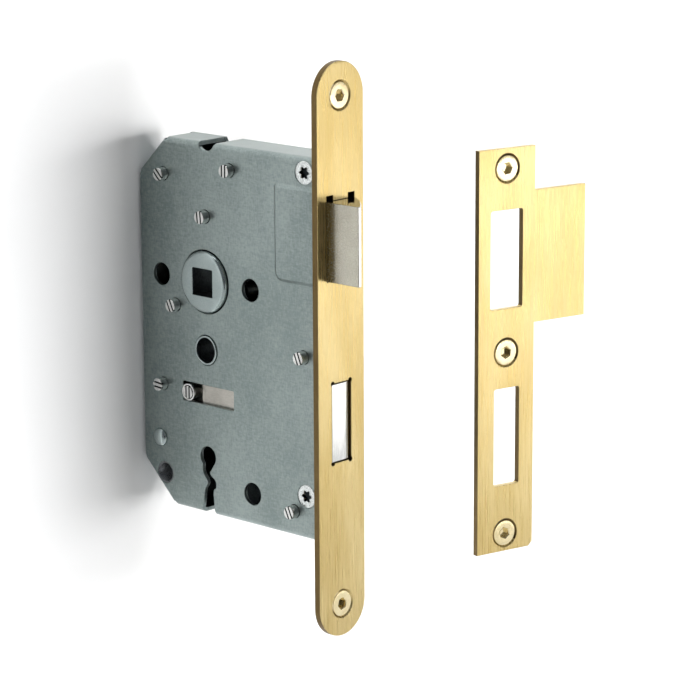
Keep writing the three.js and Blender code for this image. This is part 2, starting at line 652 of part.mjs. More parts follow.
function makeLever(y0) {
  const y1 = y0 + LEVER.thick;
  const [cutY0, cutY1] = [y0 - 1, y1 + 1];
  const gate = rectangle(STUMP.x, STUMP.x + BOLT.travel, STUMP.z - LEVER.gate, STUMP.z + LEVER.gate);
  return cut(
    leverOutlineSolid(y0, y1),
    rodY(LEVER_POST.x, LEVER_POST.z, LEVER_POST.radius + RUN, cutY0, cutY1, 12),
    pocket(STUMP.x, cutY0, cutY1),
    pocket(STUMP.x + BOLT.travel, cutY0, cutY1),
    plateY(gate, cutY0, cutY1),
  );
}

// a flat spring: an eye on the rear post, one leg against the case's rear wall, one leg on the lever
function makeLeverSpring(y0) {
  const [x, z] = POSTS.post_rear;
  const y1 = y0 + 1;
  const inner = POST.radius + RIM;
  const outer = inner + 0.6;
  const top = LEVER_BODY.z1;
  const leg = [[x - 1, z + inner + 0.3], [x + 5, top + 2.2], [-48, top + 0.9], [-48, top + 0.4],
    [x + 5, top + 1.6], [x - 1, z + inner - 0.2]];
  const heel = [[x - 1.6, z + inner], [x - 7.9, z - 5.2], [x - 8.3, z - 4.8], [x - 2, z + inner + 0.5]];
  return cut(
    union(rodY(x, z, outer, y0, y1, 18), plateY(leg.reverse(), y0, y1), plateY(heel, y0, y1)),
    rodY(x, z, inner, y0 - 1, y1 + 1, 18),
  );
}

for (let i = 0; i < LEVER.count; i += 1) {
  const y0 = LEVER.firstY + i * LEVER.pitch;
  add(`lever_${i + 1}`, makeLever(y0), plainSteel);
  add(`lever_spring_${i + 1}`, makeLeverSpring(y0 + 0.2), springSteel);
}

// ---- strike plate -------------------------------------------------------------------------------

// the strike stands beside the lock, turned a little about Z; its outline is drawn in its own Y and Z
function makeStrikePlate() {
  const { width, lipWidth, z0, z1, lipZ0, lipZ1, thick, latchHole, boltHole, holeCorner, screwZ } = STRIKE;
  const trim = 1.4;
  const outline = [[0, z0], [width - trim, z0], [width, z0 + trim], [width, lipZ0], [lipWidth, lipZ0],
    [lipWidth, lipZ1], [width, lipZ1], [width, z1], [0, z1]];
  const hole = (edges) => plateX(roundedRectangle(...edges, holeCorner, 2), -thick - 1, 1);
  const screwHoles = Object.values(screwZ).map((z) => screwHoleX(width / 2, z, 0, thick));
  return cut(plateX(outline, -thick, 0), hole(latchHole), hole(boltHole), ...screwHoles);
}

const strike = new THREE.Group();
strike.position.set(STRIKE.x, STRIKE.y, 0);
strike.rotation.z = THREE.MathUtils.degToRad(STRIKE.yaw);
lock.add(strike);
addTo(strike, "strike_plate", makeStrikePlate(), brushedBrass);
for (const [name, z] of Object.entries(STRIKE.screwZ)) {
  addTo(strike, name, makeHexScrew(STRIKE.width / 2, z, -0.1, 0.1), paleBrass);
}

export default lock;
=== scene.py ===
"""A mortise lock and its strike plate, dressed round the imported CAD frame.

Shapes are worked out in millimetres: +X out of the faceplate, +Z up along it, and the case's pan side facing
-Y. new_object() turns them into Blender's metres.
"""

import json
import math

import bmesh
import bpy
from mathutils import Matrix, Vector, geometry


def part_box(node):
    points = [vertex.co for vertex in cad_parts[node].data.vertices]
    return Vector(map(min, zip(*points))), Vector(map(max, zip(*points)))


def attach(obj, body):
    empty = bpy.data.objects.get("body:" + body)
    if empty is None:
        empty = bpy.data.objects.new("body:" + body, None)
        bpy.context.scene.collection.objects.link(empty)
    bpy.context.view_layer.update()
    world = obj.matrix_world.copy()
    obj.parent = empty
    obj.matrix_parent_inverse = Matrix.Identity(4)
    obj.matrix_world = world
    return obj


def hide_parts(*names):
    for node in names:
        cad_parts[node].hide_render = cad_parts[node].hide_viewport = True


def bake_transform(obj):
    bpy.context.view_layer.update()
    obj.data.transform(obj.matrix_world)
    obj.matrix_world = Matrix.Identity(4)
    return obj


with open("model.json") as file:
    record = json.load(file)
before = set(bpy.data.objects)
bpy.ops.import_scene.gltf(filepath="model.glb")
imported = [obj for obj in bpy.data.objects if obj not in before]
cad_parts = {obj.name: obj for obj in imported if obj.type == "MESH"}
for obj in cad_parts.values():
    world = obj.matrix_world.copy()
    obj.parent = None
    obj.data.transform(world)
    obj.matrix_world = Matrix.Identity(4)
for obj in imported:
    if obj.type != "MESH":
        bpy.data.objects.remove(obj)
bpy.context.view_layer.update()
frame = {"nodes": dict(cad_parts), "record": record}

MM = 0.001
FAR = 60  # how far a cutting solid runs past what it cuts
WELD = 1e-7  # points closer than this, in metres, become one
FLAT_ANGLE, EASED_ANGLE, CREASE_ANGLE = 0.5, 32, 50  # degrees between faces

BEHAVIOUR = frame["record"]["behaviour"]
BODY_OF = {node: body for body, nodes in BEHAVIOUR["bodies"].items() for node in nodes}


def extent(node):
    """A CAD node's lowest and highest corners, in millimetres."""
    low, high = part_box(node)
    return low / MM, high / MM


def middle(node):
    """The middle of a CAD node's box, in millimetres."""
    low, high = extent(node)
    return (low + high) / 2


# ---- outlines ------------------------------------------------------------------------------------


def arc(x, y, radius, start, end, steps):
    """Points on an arc, its angles in degrees."""
    points = []
    for i in range(steps + 1):
        angle = math.radians(start + (end - start) * i / steps)
        points.append((x + radius * math.cos(angle), y + radius * math.sin(angle)))
    return points


def circle(x, y, radius, steps=48):
    return arc(x, y, radius, 0, 360, steps)[:-1]


def rectangle(x0, x1, y0, y1, radius=0.0, steps=4):
    """A rectangle, its corners rounded if a radius is given."""
    if radius == 0:
        return [(x0, y0), (x1, y0), (x1, y1), (x0, y1)]
    return (
        arc(x1 - radius, y0 + radius, radius, -90, 0, steps)
        + arc(x1 - radius, y1 - radius, radius, 0, 90, steps)
        + arc(x0 + radius, y1 - radius, radius, 90, 180, steps)
        + arc(x0 + radius, y0 + radius, radius, 180, 270, steps)
    )


def bar(x0, y0, x1, y1, radius, steps=16):
    """A straight bar with round ends."""
    along = math.degrees(math.atan2(y1 - y0, x1 - x0))
    return arc(x1, y1, radius, along - 90, along + 90, steps) + arc(
        x0, y0, radius, along + 90, along + 270, steps
    )


def spline(points, steps=6):
    """A smooth curve through all the points (Catmull-Rom)."""
    ends = [points[0]] + list(points) + [points[-1]]
    curve = []
    for a, b, c, d in zip(ends, ends[1:], ends[2:], ends[3:]):
        for i in range(steps):
            t = i / steps
            curve.append(
                tuple(
                    0.5
                    * (
                        2 * q
                        + (r - p) * t
                        + (2 * p - 5 * q + 4 * r - s) * t**2
                        + (3 * q - p - 3 * r + s) * t**3
                    )
                    for p, q, r, s in zip(a, b, c, d)
                )
            )
    return curve + [points[-1]]


def counter_clockwise(points):
    area = sum(a[0] * b[1] - b[0] * a[1] for a, b in zip(points, points[1:] + points[:1]))
    return list(points) if area > 0 else list(reversed(points))


def moved_in(points, distance):
    """A counter-clockwise loop moved inward by a distance, with mitred corners."""
    moved = []
    for i, here in enumerate(points):
        before = Vector(here) - Vector(points[i - 1])
        after = Vector(points[(i + 1) % len(points)]) - Vector(here)
        before.normalize()
        after.normalize()
        left = Vector((-before.y, before.x)) + Vector((-after.y, after.x))
        moved.append(tuple(Vector(here) + left * (distance / (1 + before.dot(after)))))
    return moved


def rim(front, back, radius, steps=3):
    """A plate's edge from its front height to its back height, both its corners rounded.

    It is a list of (distance into the material, height).
    """
    way = 1 if back > front else -1
    turn = [math.radians(90 * i / steps) for i in range(steps + 1)]
    rise = [(radius * (1 - math.sin(a)), radius * (1 - math.cos(a))) for a in turn]
    return [(d, front + way * h) for d, h in rise] + [(d, back - way * h) for d, h in reversed(rise)]


# ---- meshes --------------------------------------------------------------------------------------


def along_x(u, v, h):
    return (h, u, v)


def along_y(u, v, h):
    return (u, h, v)


def along_z(u, v, h):
    return (u, v, h)


def new_object(name, points, faces):
    """An object from points in millimetres, welded, its faces turned to point out."""
    mesh = bpy.data.meshes.new(name)
    mesh.from_pydata([Vector(point) * MM for point in points], [], faces)
    tidy_mesh(mesh)
    made = bpy.data.objects.new(name, mesh)
    bpy.context.scene.collection.objects.link(made)
    return made


def tidy_mesh(mesh):
    form = bmesh.new()
    form.from_mesh(mesh)
    bmesh.ops.remove_doubles(form, verts=form.verts, dist=WELD)
    bmesh.ops.recalc_face_normals(form, faces=form.faces)
    form.to_mesh(mesh)
    form.free()


def plate(name, outline, edge, holes=(), place=along_y):
    """A plate with holes. Its outline and each hole have an edge profile, as rim() gives.

    holes is a list of (loop, profile); a hole's profile grows it instead of shrinking it.
    """
    points, faces = [], []
    ends = ([], [])
    for loop, profile, way in [(outline, edge, 1)] + [(hole, grown, -1) for hole, grown in holes]:
        loop = counter_clockwise(loop)
        rings = []
        for into, height in profile:
            ring = moved_in(loop, way * into)
            rings.append(range(len(points), len(points) + len(ring)))
            points += [place(u, v, height) for u, v in ring]
        for low, high in zip(rings, rings[1:]):
            for i in range(len(loop)):
                faces.append((low[i], low[i - 1], high[i - 1], high[i]))
        ends[0].append(rings[0])
        ends[1].append(rings[-1])
    for end in ends:
        loops = [[Vector(points[i]) for i in ring] for ring in end]
        flat = [i for ring in end for i in ring]
        faces += [tuple(flat[i] for i in face) for face in geometry.tessellate_polygon(loops)]
    return new_object(name, points, faces)


def turned(name, profile, centre, place=along_y, steps=48, closed=False):
    """A profile of (radius, height) turned about an axis through a point.

    A closed profile makes a ring; an open one starts and ends on the axis.
    """
    points, faces = [], []
    cx, cy, ch = centre
    count = len(profile)
    for i in range(steps):
        angle = 2 * math.pi * i / steps
        for radius, height in profile:
            u, v = cx + radius * math.cos(angle), cy + radius * math.sin(angle)
            points.append(place(u, v, ch + height))
    for i in range(steps):
        for k in range(count if closed else count - 1):
            a, b = i * count, ((i + 1) % steps) * count
            after = (k + 1) % count
            faces.append((a + k, a + after, b + after, b + k))
    return new_object(name, points, faces)


def block(name, x0, x1, y0, y1, z0, z1):
    return plate(name, rectangle(x0, x1, y0, y1), [(0, z0), (0, z1)], place=along_z)


def rod(name, x, z, radius, y0, y1, edge=0.0, steps=48):
    """A round bar along Y, its ends' edges rounded if an edge radius is given."""
    profile = rim(y0, y1, edge) if edge else [(0, y0), (0, y1)]
    return plate(name, circle(x, z, radius, steps), profile)


def boolean(base, others, operation="DIFFERENCE"):
    """base with the others taken away, or joined on; the others are used up."""
    group = bpy.data.collections.new("others")
    for other in others:
        group.objects.link(other)
    modifier = base.modifiers.new("boolean", "BOOLEAN")
    modifier.operand_type = "COLLECTION"
    modifier.collection = group
    modifier.operation = operation
    modifier.solver = "MANIFOLD"
    result = bpy.data.meshes.new_from_object(base.evaluated_get(bpy.context.evaluated_depsgraph_get()))
    base.modifiers.clear()
    base.data = result
    for other in others:
        bpy.data.objects.remove(other)
    bpy.data.collections.remove(group)
    tidy_mesh(base.data)
    return base


def joined(base, others):
    return boolean(base, others, "UNION")


def ease_edges(made, width, angle):
    """A small bevel on the edges whose faces meet at more than an angle."""
    easing = made.modifiers.new("eased edges", "BEVEL")
    easing.width = width * MM
    easing.segments = 2
    easing.limit_method = "ANGLE"
    easing.angle_limit = math.radians(angle)
    return easing


def shade(made, bevel=0.0):
    """Smooth shading that leaves flat faces flat, with the sharp edges eased by a bevel if one is given."""
    for face in made.data.polygons:
        face.use_smooth = True
    if bevel:
        ease_edges(made, bevel, EASED_ANGLE).miter_outer = "MITER_ARC"
    else:
        made.data.set_sharp_from_angle(angle=math.radians(CREASE_ANGLE))
    weighted = made.modifiers.new("flat faces", "WEIGHTED_NORMAL")
    weighted.keep_sharp = True
    return made


def dissolve_flat(made):
    """Joins the triangles of each flat face, so that a bevel follows only the real edges."""
    form = bmesh.new()
    form.from_mesh(made.data)
    bmesh.ops.dissolve_limit(
        form,
        angle_limit=math.radians(FLAT_ANGLE),
        verts=form.verts,
        edges=form.edges,
        use_dissolve_boundaries=False,
    )
    form.to_mesh(made.data)
    form.free()
    return made


def stand_for(made, node, finish):
    """The piece takes a CAD node's place: its body and a finish."""
    made.data.materials.clear()
    made.data.materials.append(finish)
    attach(made, BODY_OF[node])
    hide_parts(node)
    return made


# ---- materials -----------------------------------------------------------------------------------


NOISE_RANGE = (0.3, 0.7)  # the part of a noise's values that is drawn out to the full range
COLOUR_STOPS = (0.36, 0.64)  # where a metal's dark colour ends and its light one begins


def noise(nodes, links, coords, scale, detail):
    """Noise whose scale is in cycles per millimetre along each axis."""
    mapping = nodes.new("ShaderNodeMapping")
    mapping.inputs["Scale"].default_value = [value / MM for value in scale]
    links.new(coords.outputs["Object"], mapping.inputs["Vector"])
    texture = nodes.new("ShaderNodeTexNoise")
    texture.inputs["Scale"].default_value = 1.0
    texture.inputs["Detail"].default_value = detail
    texture.inputs["Roughness"].default_value = 0.55
    links.new(mapping.outputs["Vector"], texture.inputs["Vector"])
    return texture.outputs["Fac"]


def spread(nodes, links, value, low, high):
    """A noise value drawn out to run from low to high."""
    stretch = nodes.new("ShaderNodeMapRange")
    stretch.inputs["From Min"].default_value = NOISE_RANGE[0]
    stretch.inputs["From Max"].default_value = NOISE_RANGE[1]
    stretch.inputs["To Min"].default_value = low
    stretch.inputs["To Max"].default_value = high
    links.new(value, stretch.inputs["Value"])
    return stretch.outputs["Result"]


def arithmetic(nodes, links, operation, first, *others):
    """A maths node; each of its inputs after the first is a socket or a constant."""
    made = nodes.new("ShaderNodeMath")
    made.operation = operation
    links.new(first, made.inputs[0])
    for i, other in enumerate(others, 1):
        if isinstance(other, float):
            made.inputs[i].default_value = other
        else:
            links.new(other, made.inputs[i])
    return made.outputs[0]


def metal(name, dark, light, roughness, grain, patches, bump=0.0, cross=None):
    """A metal whose colour runs from dark to light with fine grain and broad patches.

    grain, cross and patches are noise scales in cycles per millimetre; roughness is (low, high); bump is the
    depth of the grain in millimetres. A second grain, cross, that runs across the first gives a fine weave.
    """
    made = bpy.data.materials.new(name)
    made.use_nodes = True
    nodes, links = made.node_tree.nodes, made.node_tree.links
    shader = nodes["Principled BSDF"]
    shader.inputs["Metallic"].default_value = 1.0
    coords = nodes.new("ShaderNodeTexCoord")
    fine = noise(nodes, links, coords, grain, 3.0)
    if cross:
        weave = arithmetic(nodes, links, "ADD", fine, noise(nodes, links, coords, cross, 3.0))
        fine = arithmetic(nodes, links, "SUBTRACT", weave, 0.5)
    broad = noise(nodes, links, coords, patches, 2.0)
    half = arithmetic(nodes, links, "MULTIPLY", fine, 0.5)
    both = arithmetic(nodes, links, "MULTIPLY_ADD", broad, 0.5, half)

    ramp = nodes.new("ShaderNodeValToRGB")
    for stop, position, colour in zip(ramp.color_ramp.elements, COLOUR_STOPS, (dark, light)):
        stop.position = position
        stop.color = (*colour, 1)
    links.new(both, ramp.inputs["Fac"])
    links.new(ramp.outputs["Color"], shader.inputs["Base Color"])
    links.new(spread(nodes, links, fine, *roughness), shader.inputs["Roughness"])
    if bump:
        relief = nodes.new("ShaderNodeBump")
        relief.inputs["Strength"].default_value = 1.0
        relief.inputs["Distance"].default_value = bump * MM
        links.new(fine, relief.inputs["Height"])
        links.new(relief.outputs["Normal"], shader.inputs["Normal"])
    return made


ZINC = metal(
    "zinc plated sheet",
    dark=(0.21, 0.255, 0.248), light=(0.318, 0.368, 0.358),
    roughness=(0.3, 0.42), grain=(2.2, 2.2, 0.7), cross=(0.7, 0.7, 2.2),
    patches=(0.05, 0.05, 0.03), bump=0.012,
)
BRASS = metal(
    "brushed brass",
    dark=(0.54, 0.395, 0.148), light=(0.69, 0.55, 0.272),
    roughness=(0.22, 0.38), grain=(2.0, 2.7, 0.07), patches=(0.05, 0.07, 0.02), bump=0.005,
)
# A dark brass that paints shade and a dark reflection onto plate edges and hole walls.
EDGE_SHADE_BRASS = metal(
    "shaded_edge brass",
    dark=(0.12, 0.08, 0.032), light=(0.18, 0.122, 0.05),
    roughness=(0.34, 0.48), grain=(2.4, 0.6, 0.3), patches=(0.1, 0.1, 0.05), bump=0.005,
)
SCREW_BRASS = metal(
    "polished brass",
    dark=(0.80, 0.66, 0.36), light=(0.90, 0.78, 0.50),
    roughness=(0.12, 0.22), grain=(1.2, 1.2, 1.2), patches=(0.2, 0.2, 0.2),
)
LATCH_STEEL = metal(
    "satin latch",
    dark=(0.42, 0.40, 0.335), light=(0.54, 0.52, 0.44),
    roughness=(0.2, 0.3), grain=(2.0, 2.0, 3.0), patches=(0.1, 0.1, 0.1), bump=0.003,
)
# Polished steel for the deadbolt; on the latch's nose, top and bottom it is a painted highlight.
NICKEL_AND_HIGHLIGHT = metal(
    "polished steel",
    dark=(0.70, 0.70, 0.68), light=(0.82, 0.82, 0.79),
    roughness=(0.05, 0.12), grain=(0.6, 2.6, 0.3), patches=(0.15, 0.15, 0.15), bump=0.002,
)
HUB_ZINC = metal(
    "satin zinc hub",
    dark=(0.33, 0.39, 0.385), light=(0.40, 0.46, 0.455),
    roughness=(0.16, 0.24), grain=(2.0, 2.0, 2.0), patches=(0.1, 0.1, 0.1), bump=0.001,
)
SCREW_ZINC = metal(
    "zinc plated screw",
    dark=(0.60, 0.63, 0.62), light=(0.74, 0.77, 0.76),
    roughness=(0.22, 0.34), grain=(2.0, 2.0, 2.0), patches=(0.2, 0.2, 0.2),
)
STEEL = metal(
    "machined steel",
    dark=(0.62, 0.63, 0.61), light=(0.74, 0.74, 0.72),
    roughness=(0.14, 0.24), grain=(2.0, 2.0, 2.0), patches=(0.3, 0.3, 0.3), bump=0.001,
)
INNER_STEEL = metal(
    "stamped steel",
    dark=(0.42, 0.40, 0.36), light=(0.58, 0.56, 0.51),
    roughness=(0.28, 0.42), grain=(0.8, 0.8, 4.0), patches=(0.1, 0.1, 0.1), bump=0.004,
)
# Dark spring steel for the springs; on the threaded sleeve it is painted shade.
SPRING_STEEL_AND_SHADE = metal(
    "spring steel",
    dark=(0.16, 0.17, 0.18), light=(0.28, 0.29, 0.30),
    roughness=(0.25, 0.4), grain=(3.0, 3.0, 3.0), patches=(0.2, 0.2, 0.2),
)
# A near-black material that paints shade into bores, grooves, recesses, the follower's parts inside the case
# and the case's inside.
SHADE_PAINT = metal(
    "dull bore",
    dark=(0.018, 0.022, 0.024), light=(0.06, 0.07, 0.072),
    roughness=(0.45, 0.6), grain=(1.5, 1.5, 1.5), patches=(0.2, 0.2, 0.2),
)


def paint_light_and_shade(made, finish, inside):
    """Gives the faces whose middle, in millimetres, and normal pass a test a second material, which paints
    shade onto them, or a highlight on the latch.
    """
    made.data.materials.append(finish)
    for face in made.data.polygons:
        if inside(face.center / MM, face.normal):
            face.material_index = 1
    return made


def bore_test(x, z, radius):
    """A test for the walls of a bore along Y, which get painted shade."""

    def inside(at, normal):
        across = Vector((at.x - x, 0, at.z - z))
        return across.length < radius and normal.dot(across) < 0 and abs(normal.y) < 0.7

    return inside


# ---- case ----------------------------------------------------------------------------------------

PAN_LOW, PAN_HIGH = extent("case_pan")
CAP_INNER = extent("case_cap")[0].y  # the cap's face inside the case
REAR, FRONT, TOP, BOTTOM = PAN_LOW.x, PAN_HIGH.x, PAN_HIGH.z, PAN_LOW.z
RAISED = 1.0  # how far the pressing over the latch stands out
HALF = -PAN_LOW.y - RAISED  # half the case's thickness, outside
SHEET = 1.2
INNER = HALF - SHEET  # half its thickness, inside
BEND = 1.9  # the pan's fold, outside
TOP_CHAMFER, BOTTOM_CHAMFER = 11.6, 13.2
PRESSING = {"rear": -20.5, "z0": 20.6, "z1": 50.0, "upper": 1.5, "lower": 3.0}
PRESSED_IN = 0.5  # how much smaller the pressing is inside than outside
NOTCH = {"half": 3.6, "floor": 56.2, "x": -49.2}
RELIEF = 0.9  # radius of the small hole at each end of a fold
WINDOW = {"x0": -60.4, "x1": -38.6, "z": -19.5, "half": 3.05}

BACKSET = 50.0
SPINDLE_Z, KEY_Z, COLLAR_Z = 16.0, -39.0, -5.3
FIXING = [(x, z) for x in (-69.0, -31.0) for z in (SPINDLE_Z, -47.3)]
FIXING_RADIUS, KEY_RADIUS, HUB_RADIUS, COLLAR_HOLE = 3.5, 3.3, 9.6, 4.75
POST_RADIUS, POST_HOLE = 2.0, 2.1
POSTS = {  # each post's node, and how far its grooves lean from upright in degrees
    "post_top_rear": 45,
    "post_top_front": 0,
    "post_over_follower": 5,
    "post_follower_stop": 25,
    "post_front": 22,
    "post_rear": 85,
    "post_bottom_front": 25,
}


def case_outline(inset, front):
    """The case's side outline, drawn in by an inset all round."""
    corner = inset * (2 - math.sqrt(2))
    top, bottom, rear = TOP - inset, BOTTOM + inset, REAR + inset
    upper, lower = TOP_CHAMFER - corner, BOTTOM_CHAMFER - corner
    return [
        (front, bottom),
        (front, top),
        (rear + upper, top),
        (rear, top - upper),
        (rear, bottom + lower),
        (rear + lower, bottom),
    ]


def within_case(at, inset):
    """Whether a point lies inside the case's side outline, drawn in by an inset."""
    slant = math.sqrt(2) * inset
    from_rear, from_top, from_bottom = at.x - REAR, TOP - at.z, at.z - BOTTOM
    clear = min(from_rear, from_top, from_bottom) > inset
    upper = from_rear + from_top > TOP_CHAMFER + slant
    return clear and upper and from_rear + from_bottom > BOTTOM_CHAMFER + slant


def folded(name, inset, face, radius, steps):
    """A solid with the case's outline, its edge rounded over from the face at -Y."""
    turn = [math.radians(90 * i / steps) for i in range(steps + 1)]
    profile = [(radius * (1 - math.sin(a)), face + radius * (1 - math.cos(a))) for a in turn]
    return plate(name, case_outline(inset, FAR + inset), profile + [(0, FAR)])


def pressing(name, inset, base, side, floor):
    """The shallow pressing over the latch, on the pan (side -1) or the cap (side 1)."""
    z0, z1, rear = PRESSING["z0"] + inset, PRESSING["z1"] - inset, PRESSING["rear"] + inset
    upper, lower = PRESSING["upper"], PRESSING["lower"]
    outline = (
        [(FAR, z0), (FAR, z1)]
        + arc(rear + upper, z1 - upper, upper, 90, 180, 6)
        + arc(rear + lower, z0 + lower, lower, 180, 270, 10)
    )
    foot = -0.3
    slope = [(1.35, RAISED), (1.12, RAISED - 0.05), (0.95, RAISED - 0.17)]
    slope += [(0.2, 0.17), (0.03, 0.04), (foot, -0.02)]
    profile = [(into, side * (base + height)) for into, height in slope]
    return plate(name, outline, profile + [(foot, side * floor)])


def hole_cutter(loop, face, side, edge=0.14):
    """A solid that cuts a loop through the sheet whose face is given, and eases the hole's rim."""
    profile = [(-edge, side * (face + 2)), (-edge, side * face), (0, side * (face - edge)), (0, 0.0)]
    return plate("cutter", loop, profile)


def keyhole():
    """The key's round barrel hole and the S-shaped slot for its bit, in one loop."""
    barrel = arc(0, 0, KEY_RADIUS, -45, 228, 40)
    left = [(-2.3, -4.5), (-1.5, -6.2), (-0.3, -7.8), (-0.8, -9.5), (-1.6, -11), (-2.7, -19)]
    right = [(2.7, -19), (2.1, -11), (3.2, -9.3), (3, -7.2), (1.2, -5.9), (0.6, -4.9), (1.3, -3.9)]
    loop = barrel + spline([barrel[-1]] + left)[1:] + spline(right + [barrel[0]])[:-1]
    return [(x - BACKSET, z + KEY_Z) for x, z in loop]


def side_holes(face, side):
    """Cutters for the holes that go through one side of the case."""
    loops = [
        circle(-BACKSET, SPINDLE_Z, HUB_RADIUS + 0.3, 64),
        circle(-BACKSET, COLLAR_Z, COLLAR_HOLE),
        keyhole(),
    ]
    loops += [circle(x, z, FIXING_RADIUS) for x, z in FIXING]
    for node in list(POSTS) + ["lever_pivot"]:
        at = middle(node)
        loops.append(circle(at.x, at.z, POST_HOLE, 32))
    return [hole_cutter(loop, face, side) for loop in loops]


def top_notch(edge):
    """The U-shaped notch in the case's top edge, through both sides and the flange, its near rim eased."""
    x, half, floor = NOTCH["x"], NOTCH["half"], NOTCH["floor"]
    loop = [(x + half, TOP + FAR), (x - half, TOP + FAR)] + arc(x, floor + half, half, 180, 360, 24)
    return plate("cutter", loop, [(-edge, -FAR), (-edge, -HALF), (0, edge - HALF), (0, FAR)])


def corner_reliefs():
    """Cutters for the small holes at the corners, where the folds meet."""
    return [rod("cutter", x, z, RELIEF, -FAR, FAR, steps=24) for x, z in case_outline(0.5, FAR)[2:]]


def screw_sink(node):
    """A cutter for the countersink that a case screw's head sits in."""
    at = middle(node)
    mouth, hole = 3.75, 1.65
    profile = [(0, -2), (mouth, -2), (mouth, 0), (hole, 2.05), (hole, 9), (0, 9)]
    return turned("cutter", profile, (at.x, at.z, -HALF))


def beyond_the_front():
    return block("cutter", FRONT, FAR * 3, -FAR, FAR * 2, -FAR * 2, FAR * 2)


def make_pan():
    pan = folded("case_pan_sheet", 0, -HALF, BEND, 8)
    pan = joined(pan, [pressing("pressing", 0, HALF, -1, 1)])
    window_low, window_high = WINDOW["z"] - WINDOW["half"], WINDOW["z"] + WINDOW["half"]
    slot = 2.6  # half the width of the keyhole's slot where it runs out through the lower edge
    cutters = [
        folded("cutter", SHEET, -INNER, BEND - SHEET, 4),
        pressing("cutter", PRESSED_IN, INNER, -1, 0),
        beyond_the_front(),
        block("cutter", -FAR * 3, FAR, PAN_HIGH.y, FAR * 2, -FAR * 2, FAR * 2),
        top_notch(0.35),
        block("cutter", -BACKSET - slot, -BACKSET + slot, -FAR, 1.2 - INNER, BOTTOM - FAR, BOTTOM + 2),
        hole_cutter(rectangle(WINDOW["x0"], WINDOW["x1"], window_low, window_high, 0.4), HALF, -1),
        screw_sink("case_screw_upper"),
        screw_sink("case_screw_lower"),
    ]
    for cutter in cutters + corner_reliefs() + side_holes(HALF, -1):
        pan = boolean(pan, [cutter])
    stand_for(shade(dissolve_flat(pan), 0.1), "case_pan", ZINC)
    # The pan's inside faces get painted shade.
    paint_light_and_shade(pan, SHADE_PAINT, lambda at, normal: at.y > 0.05 - INNER and within_case(at, SHEET - 0.1))


def make_cap():
    cap = plate("case_cap_sheet", case_outline(0, FRONT), rim(CAP_INNER, HALF, 0.12, 2))
    cap = joined(cap, [pressing("pressing", 0, HALF, 1, CAP_INNER + 0.2)])
    cutters = [pressing("cutter", PRESSED_IN, CAP_INNER, 1, 0), beyond_the_front(), top_notch(0.1)]
    for cutter in cutters + side_holes(HALF, 1):
        cap = boolean(cap, [cutter])
    stand_for(shade(dissolve_flat(cap), 0.08), "case_cap", ZINC)
    # The cap's inside face gets painted shade.
    paint_light_and_shade(cap, SHADE_PAINT, lambda at, normal: normal.y < -0.5)


make_pan()
make_cap()

# ---- posts, pivot, tubes and guide pin -----------------------------------------------------------

GROOVE = {"width": 0.55, "depth": 0.8, "offset": 0.68}
RING_STEPS = 64


def grooves(x, z, face, lean):
    """Two parallel slots across the end of a post, leaning from upright by some degrees."""
    cutters = []
    half = GROOVE["width"] / 2
    for offset in (-GROOVE["offset"], GROOVE["offset"]):
        slot = block("cutter", offset - half, offset + half, -1, GROOVE["depth"], -6, 6)
        place = Matrix.Translation(Vector((x, face, z)) * MM)
        slot.data.transform(place @ Matrix.Rotation(math.radians(-lean), 4, "Y"))
        cutters.append(slot)
    return cutters


def darken_grooves(made, x, z, face):
    """Painted shade inside a post's grooves."""

    def inside(at, normal):
        within = math.hypot(at.x - x, at.z - z) < POST_RADIUS - 0.1
        return within and face + 0.12 < at.y < face + GROOVE["depth"] + 0.1

    paint_light_and_shade(made, SHADE_PAINT, inside)


def make_post(node, lean, edge=0.22):
    """A grooved post, with the collar that keeps the case's sides apart where its CAD node has one."""
    low, high = extent(node)
    at = middle(node)
    post = rod(node + "_turned", at.x, at.z, POST_RADIUS, low.y, high.y, edge)
    collar = (high.x - low.x) / 2
    if collar > POST_RADIUS + 0.2:
        seat = INNER - 0.1
        post = joined(post, [rod("collar", at.x, at.z, collar, -seat, seat, 0.2)])
    for cutter in grooves(at.x, at.z, low.y, lean):
        post = boolean(post, [cutter])
    stand_for(shade(dissolve_flat(post), 0.05), node, STEEL)
    darken_grooves(post, at.x, at.z, low.y)


for post_node, post_lean in POSTS.items():
    make_post(post_node, post_lean)


def make_dome():
    """The levers' pivot: a pin with a domed head on the pan."""
    at = middle("lever_pivot")
    low, high = extent("lever_pivot")
    seat = -HALF - 0.05
    height, radius, end = seat - low.y, (high.x - low.x) / 2, high.y - seat
    turn = [math.radians(degrees) for degrees in range(0, 88, 8)]
    profile = [(radius * math.sin(a), -height * math.cos(a)) for a in turn]
    profile += [(radius, -0.08), (radius - 0.06, 0), (POST_RADIUS, 0), (POST_RADIUS, end), (0, end)]
    dome = turned("lever_pivot_turned", profile, (at.x, at.z, seat))
    stand_for(shade(dome), "lever_pivot", HUB_ZINC)


def make_ring(node, finish, bore, edge):
    """A plain tube along Y in a CAD tube's place, with painted shade inside its bore."""
    low, high = extent(node)
    at = middle(node)
    outer = (high.x - low.x) / 2
    profile = [(outer - d, h) for d, h in rim(low.y, high.y, edge)]
    profile += [(bore + d, h) for d, h in reversed(rim(low.y, high.y, edge))]
    made = turned(node + "_turned", profile, (at.x, at.z, 0), closed=True, steps=RING_STEPS)
    stand_for(shade(made), node, finish)
    paint_light_and_shade(made, SHADE_PAINT, bore_test(at.x, at.z, bore + 0.05))


